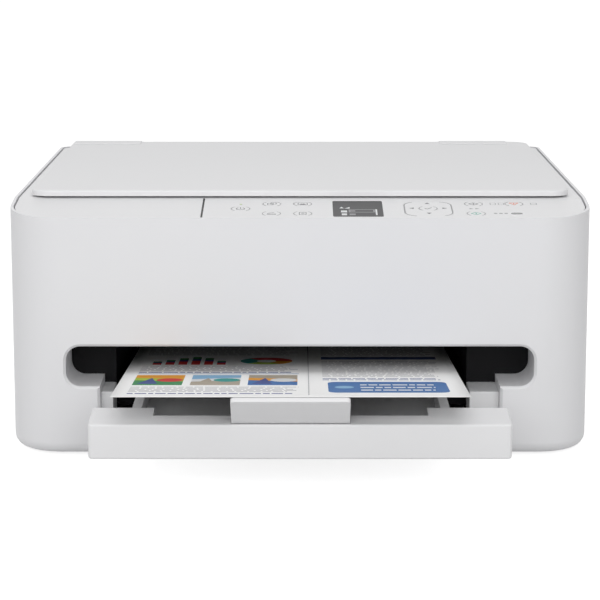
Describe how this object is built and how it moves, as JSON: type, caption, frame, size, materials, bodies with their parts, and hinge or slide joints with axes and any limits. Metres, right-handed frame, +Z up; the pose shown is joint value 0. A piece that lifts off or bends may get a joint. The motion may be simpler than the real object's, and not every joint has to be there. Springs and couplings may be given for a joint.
{
  "type": "multifunction printer",
  "caption": "Low white flatbed inkjet printer with a hinged scanner lid, sloping key panel, drawn-out output tray, paper stop and a paper cassette below.",
  "frame": {"origin": "on the floor, under the middle of the bounding box with the tray drawn out", "axes": "+X to the right seen from the front, +Y to the back, +Z up; the tray comes out along -Y"},
  "size_m": [0.379, 0.4726, 0.1689],
  "materials": {
    "white_plastic": "satin moulded",
    "panel_plastic": "satin moulded",
    "key_plastic": "satin moulded",
    "grey_plastic": "fine texture",
    "black_plastic": "fine texture",
    "dark_window": "glossy, tinted",
    "display_glass": "glossy, tinted",
    "lamp_plastic": "glossy, tinted",
    "foot_rubber": "matt",
    "roller_rubber": "matt",
    "belt_rubber": "matt, toothed",
    "pad_foam": "smooth film on foam",
    "paper": "plain, printed",
    "glass": "polished",
    "steel": "zinc plated",
    "brass": "turned",
    "board": "coated circuit board"
  },
  "bodies": {
    "printer": {"outer_casing": "white_plastic", "rubber_feet": "foot_rubber", "base_plate": "steel", "exit_ledges": "white_plastic", "exit_frame": "black_plastic", "chassis": "steel", "carriage_rail": "steel", "platen": "black_plastic", "roller_belt": "belt_rubber", "carriage_belt": "belt_rubber", "carriage_motor": "steel", "belt_bracket": "steel", "service_station": "grey_plastic", "main_board": "board", "power_supply": "black_plastic", "mains_inlet": "black_plastic", "usb_port": "steel", "casing_screws": "steel"},
    "scanner_unit": {"scanner_housing": "white_plastic", "scanner_base": "grey_plastic", "scan_rail": "steel", "platen_glass": "glass", "control_panel": "panel_plastic", "status_bar": "dark_window", "display_window": "display_glass", "display_module": "black_plastic", "indicator_lamps": "lamp_plastic", "panel_board": "board"},
    "scan_head": {"scan_bar": "black_plastic"},
    "lid": {"lid_shell": "white_plastic", "hinge_covers": "white_plastic", "document_pad": "pad_foam"},
    "tray": {"output_tray": "white_plastic", "printed_sheet": "paper"},
    "stop_flap": {"paper_stop": "white_plastic"},
    "paper_cassette": {"cassette": "grey_plastic", "cassette_face": "white_plastic"},
    "left_guide": {"width_guide_left": "grey_plastic"},
    "right_guide": {"width_guide_right": "grey_plastic"},
    "end_guide": {"length_guide": "grey_plastic"},
    "pickup": {"pickup_arm": "grey_plastic"},
    "pickup_wheel": {"pickup_roller": "roller_rubber"},
    "feed_shaft": {"feed_roller": "roller_rubber"},
    "eject_shaft": {"eject_roller": "roller_rubber"},
    "print_carriage": {"carriage": "black_plastic", "black_cartridge": "black_plastic", "colour_cartridge": "grey_plastic"},
    "motor_pulley": {"drive_pulley": "brass"},
    "belt_idler": {"idler_pulley": "grey_plastic"},
    "jam_cover": {"rear_cover": "white_plastic"},
    "power_button_key": {"power_button": "key_plastic"},
    "copy_button_key": {"copy_button": "key_plastic"},
    "scan_button_key": {"scan_button": "key_plastic"},
    "quality_button_key": {"quality_button": "key_plastic"},
    "size_button_key": {"size_button": "key_plastic"},
    "ok_button_key": {"ok_button": "key_plastic"},
    "start_grey_button_key": {"start_grey_button": "key_plastic"},
    "start_colour_button_key": {"start_colour_button": "key_plastic"},
    "cancel_button_key": {"cancel_button": "key_plastic"},
    "direction_pad_key": {"direction_pad": "key_plastic"}
  },
  "joints": [
    {"name": "scanner_unit_hinge", "type": "hinge", "parent": "printer", "child": "scanner_unit", "pos_m": [0, 0.2288, 0.1613], "axis": [-1, 0, 0], "range_deg": [0, 30]},
    {"name": "lid_hinge", "type": "hinge", "parent": "scanner_unit", "child": "lid", "pos_m": [0, 0.2293, 0.1665], "axis": [-1, 0, 0], "range_deg": [0, 85]},
    {"name": "scan_head_slide", "type": "slide", "parent": "scanner_unit", "child": "scan_head", "axis": [1, 0, 0], "range_m": [0, 0.268]},
    {"name": "tray_slide", "type": "slide", "parent": "printer", "child": "tray", "axis": [0, -1, 0], "range_m": [-0.0976, 0]},
    {"name": "paper_stop_hinge", "type": "hinge", "parent": "tray", "child": "stop_flap", "pos_m": [-0.0057, -0.2108, 0.0446], "axis": [-1, 0, 0], "range_deg": [0, 139.9], "deforming": ["printed_sheet"]},
    {"name": "cassette_slide", "type": "slide", "parent": "printer", "child": "paper_cassette", "axis": [0, -1, 0], "range_m": [0, 0.22]},
    {"name": "left_guide_slide", "type": "slide", "parent": "paper_cassette", "child": "left_guide", "axis": [1, 0, 0], "range_m": [0, 0.055]},
    {"name": "right_guide_slide", "type": "slide", "parent": "paper_cassette", "child": "right_guide", "axis": [-1, 0, 0], "range_m": [0, 0.055]},
    {"name": "end_guide_slide", "type": "slide", "parent": "paper_cassette", "child": "end_guide", "axis": [0, 1, 0], "range_m": [0, 0.13]},
    {"name": "pickup_pivot", "type": "hinge", "parent": "printer", "child": "pickup", "pos_m": [-0.0057, 0.1813, 0.039], "axis": [1, 0, 0], "range_deg": [-8, 12], "stiffness_Nm_per_rad": 0.05},
    {"name": "pickup_spin", "type": "hinge", "parent": "pickup", "child": "pickup_wheel", "pos_m": [-0.0057, 0.1613, 0.029], "axis": [1, 0, 0], "continuous": true},
    {"name": "feed_spin", "type": "hinge", "parent": "printer", "child": "feed_shaft", "pos_m": [0, 0.2033, 0.051], "axis": [1, 0, 0], "continuous": true},
    {"name": "eject_spin", "type": "hinge", "parent": "printer", "child": "eject_shaft", "pos_m": [0, 0.1563, 0.052], "axis": [1, 0, 0], "continuous": true},
    {"name": "carriage_slide", "type": "slide", "parent": "printer", "child": "print_carriage", "axis": [-1, 0, 0], "range_m": [0, 0.25]},
    {"name": "motor_pulley_spin", "type": "hinge", "parent": "printer", "child": "motor_pulley", "pos_m": [-0.16, 0.2263, 0.094], "axis": [0, 0, 1], "range_deg": [-3700, 3700]},
    {"name": "belt_idler_spin", "type": "hinge", "parent": "printer", "child": "belt_idler", "pos_m": [0.17, 0.2263, 0.094], "axis": [0, 0, 1], "range_deg": [-3700, 3700]},
    {"name": "jam_cover_hinge", "type": "hinge", "parent": "printer", "child": "jam_cover", "pos_m": [-0.0057, 0.2353, 0.0285], "axis": [-1, 0, 0], "range_deg": [0, 80]},
    {"name": "power_button_press", "type": "slide", "parent": "scanner_unit", "child": "power_button_key", "axis": [0, 0.1118, -0.9937], "range_m": [0, 0.0006], "stiffness_N_per_m": 400},
    {"name": "copy_button_press", "type": "slide", "parent": "scanner_unit", "child": "copy_button_key", "axis": [0, 0.1118, -0.9937], "range_m": [0, 0.0006], "stiffness_N_per_m": 400},
    {"name": "scan_button_press", "type": "slide", "parent": "scanner_unit", "child": "scan_button_key", "axis": [0, 0.1118, -0.9937], "range_m": [0, 0.0006], "stiffness_N_per_m": 400},
    {"name": "quality_button_press", "type": "slide", "parent": "scanner_unit", "child": "quality_button_key", "axis": [0, 0.1118, -0.9937], "range_m": [0, 0.0006], "stiffness_N_per_m": 400},
    {"name": "size_button_press", "type": "slide", "parent": "scanner_unit", "child": "size_button_key", "axis": [0, 0.1118, -0.9937], "range_m": [0, 0.0006], "stiffness_N_per_m": 400},
    {"name": "ok_button_press", "type": "slide", "parent": "scanner_unit", "child": "ok_button_key", "axis": [0, 0.1118, -0.9937], "range_m": [0, 0.0006], "stiffness_N_per_m": 400},
    {"name": "start_grey_button_press", "type": "slide", "parent": "scanner_unit", "child": "start_grey_button_key", "axis": [0, 0.1118, -0.9937], "range_m": [0, 0.0006], "stiffness_N_per_m": 400},
    {"name": "start_colour_button_press", "type": "slide", "parent": "scanner_unit", "child": "start_colour_button_key", "axis": [0, 0.1118, -0.9937], "range_m": [0, 0.0006], "stiffness_N_per_m": 400},
    {"name": "cancel_button_press", "type": "slide", "parent": "scanner_unit", "child": "cancel_button_key", "axis": [0, 0.1118, -0.9937], "range_m": [0, 0.0006], "stiffness_N_per_m": 400},
    {"name": "direction_pad_press", "type": "slide", "parent": "scanner_unit", "child": "direction_pad_key", "axis": [0, 0.1118, -0.9937], "range_m": [0, 0.0006], "stiffness_N_per_m": 400}
  ],
  "couplings": [
    {"joint": "right_guide_slide", "follows": "left_guide_slide", "ratio": 1},
    {"joint": "eject_spin", "follows": "feed_spin", "ratio": 1.1667},
    {"joint": "motor_pulley_spin", "follows": "carriage_slide", "rad_per_m": 250},
    {"joint": "belt_idler_spin", "follows": "carriage_slide", "rad_per_m": 250}
  ]
}
